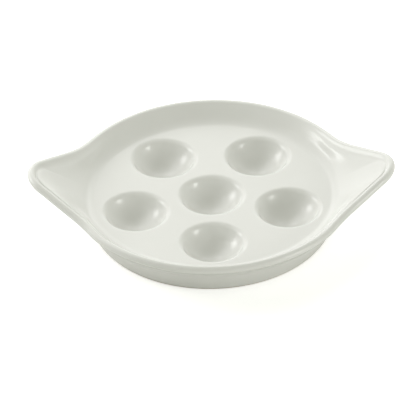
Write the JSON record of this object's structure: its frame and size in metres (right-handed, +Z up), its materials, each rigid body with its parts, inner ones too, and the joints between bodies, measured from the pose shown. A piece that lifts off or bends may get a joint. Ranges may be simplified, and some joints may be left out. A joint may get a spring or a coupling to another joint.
{
  "type": "egg holder dish",
  "caption": "Round white porcelain dish with shallow round wells for eggs or snails, a flared rim with a rounded lip, two rising pointed ears and an inset tapered skirt.",
  "frame": {"origin": "middle of the foot, on the table", "axes": "+X towards the right ear along the length, +Z up, with the single front well towards -Y"},
  "size_m": [0.19, 0.151, 0.0328],
  "materials": {
    "glaze": "glossy white glaze",
    "foot": "unglazed, ground"
  },
  "bodies": {
    "root": {"foot_ring": "foot", "skirt_wall": "glaze", "deck_plate": "glaze", "well_centre": "glaze", "well_front": "glaze", "well_front_right": "glaze", "well_rear_right": "glaze", "well_rear_left": "glaze", "well_front_left": "glaze", "rim_front": "glaze", "rim_rear": "glaze", "handle_right": "glaze", "handle_left": "glaze"}
  },
  "joints": []
}
